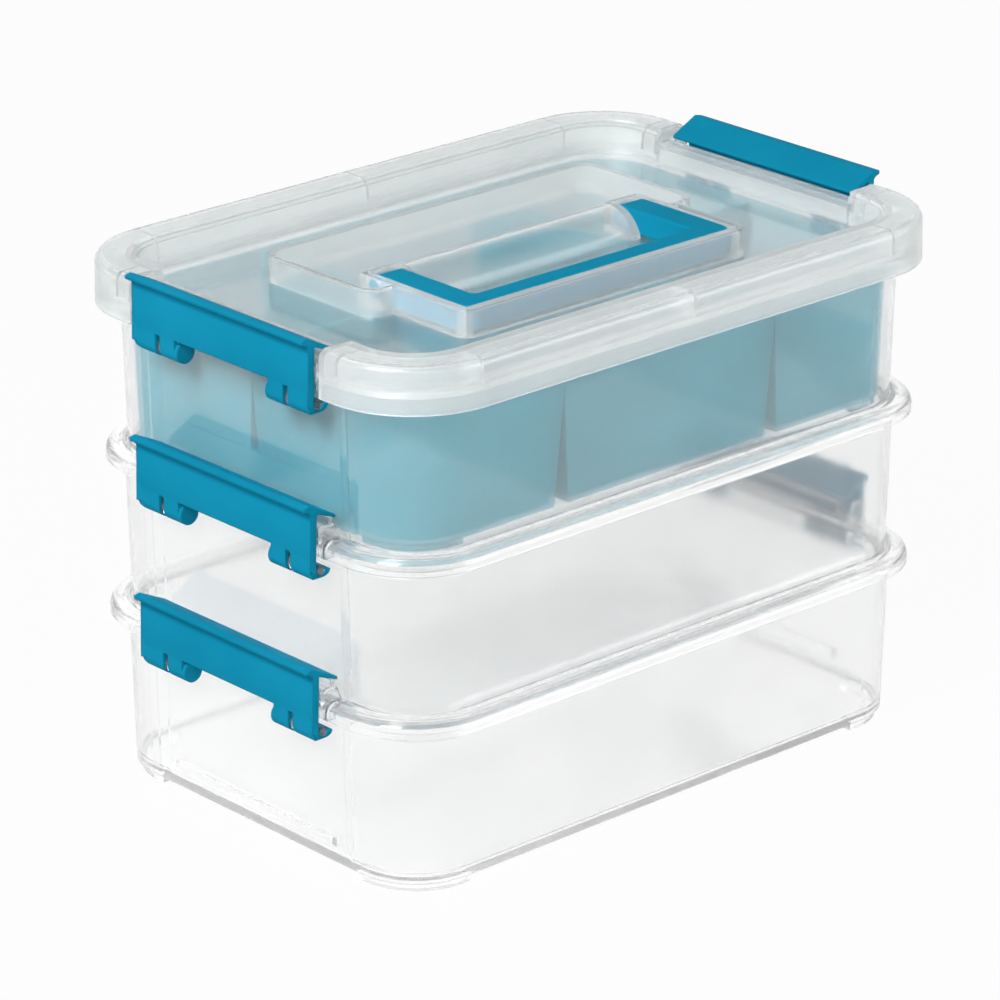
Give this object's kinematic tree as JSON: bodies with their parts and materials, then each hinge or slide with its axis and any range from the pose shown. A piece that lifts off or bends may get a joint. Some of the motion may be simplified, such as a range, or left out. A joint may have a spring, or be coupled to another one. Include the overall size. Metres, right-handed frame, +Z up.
{
  "type": "stackable tray organizer",
  "caption": "Stack of latched clear boxes under a lid with a fold-down carry handle, with a divided lift-out tray in the top box.",
  "frame": {"origin": "middle of the footprint, on the plane that the feet stand on", "axes": "+X along the long side, towards the right latches; +Y away from the handle's grip; +Z up"},
  "size_m": [0.28, 0.188, 0.2009],
  "materials": {
    "clear_plastic": "clear moulded plastic with a light haze",
    "teal_plastic": "satin opaque teal plastic",
    "tray_plastic": "translucent teal plastic"
  },
  "bodies": {
    "bottom_box": {"bottom_box": "clear_plastic"},
    "bottom_latch_left": {"bottom_latch_left": "teal_plastic"},
    "bottom_latch_right": {"bottom_latch_right": "teal_plastic"},
    "middle_box": {"middle_box": "clear_plastic"},
    "middle_latch_left": {"middle_latch_left": "teal_plastic"},
    "middle_latch_right": {"middle_latch_right": "teal_plastic"},
    "top_box": {"top_box": "clear_plastic"},
    "top_latch_left": {"top_latch_left": "teal_plastic"},
    "top_latch_right": {"top_latch_right": "teal_plastic"},
    "divided_tray": {"divided_tray": "tray_plastic"},
    "lid": {"lid": "clear_plastic"},
    "carry_handle": {"carry_handle": "teal_plastic"}
  },
  "joints": [
    {"name": "middle_box_lift", "type": "slide", "parent": "bottom_box", "child": "middle_box", "axis": [0, 0, 1], "range_m": [0, 0.085]},
    {"name": "top_box_lift", "type": "slide", "parent": "middle_box", "child": "top_box", "axis": [0, 0, 1], "range_m": [0, 0.085]},
    {"name": "lid_lift", "type": "slide", "parent": "top_box", "child": "lid", "axis": [0, 0, 1], "range_m": [0, 0.085]},
    {"name": "tray_lift", "type": "slide", "parent": "top_box", "child": "divided_tray", "axis": [0, 0, 1], "range_m": [0, 0.051]},
    {"name": "bottom_latch_left_hinge", "type": "hinge", "parent": "bottom_box", "child": "bottom_latch_left", "pos_m": [-0.132, 0, 0.0562], "axis": [0, -1, 0], "range_deg": [0, 130]},
    {"name": "bottom_latch_right_hinge", "type": "hinge", "parent": "bottom_box", "child": "bottom_latch_right", "pos_m": [0.132, 0, 0.0562], "axis": [0, 1, 0], "range_deg": [0, 130]},
    {"name": "middle_latch_left_hinge", "type": "hinge", "parent": "middle_box", "child": "middle_latch_left", "pos_m": [-0.132, 0, 0.1162], "axis": [0, -1, 0], "range_deg": [0, 130]},
    {"name": "middle_latch_right_hinge", "type": "hinge", "parent": "middle_box", "child": "middle_latch_right", "pos_m": [0.132, 0, 0.1162], "axis": [0, 1, 0], "range_deg": [0, 130]},
    {"name": "top_latch_left_hinge", "type": "hinge", "parent": "top_box", "child": "top_latch_left", "pos_m": [-0.132, 0, 0.1762], "axis": [0, -1, 0], "range_deg": [0, 130]},
    {"name": "top_latch_right_hinge", "type": "hinge", "parent": "top_box", "child": "top_latch_right", "pos_m": [0.132, 0, 0.1762], "axis": [0, 1, 0], "range_deg": [0, 130]},
    {"name": "handle_fold", "type": "hinge", "parent": "lid", "child": "carry_handle", "pos_m": [0, -0.001, 0.1903], "axis": [-1, 0, 0], "range_deg": [0, 90]}
  ],
  "couplings": [
    {"joint": "tray_lift", "follows": "lid_lift", "ratio": 0.6},
    {"joint": "bottom_latch_left_hinge", "follows": "middle_box_lift", "rad_per_m": 26.69},
    {"joint": "bottom_latch_right_hinge", "follows": "middle_box_lift", "rad_per_m": 26.69},
    {"joint": "middle_latch_left_hinge", "follows": "top_box_lift", "rad_per_m": 26.69},
    {"joint": "middle_latch_right_hinge", "follows": "top_box_lift", "rad_per_m": 26.69},
    {"joint": "top_latch_left_hinge", "follows": "lid_lift", "rad_per_m": 26.69},
    {"joint": "top_latch_right_hinge", "follows": "lid_lift", "rad_per_m": 26.69}
  ]
}
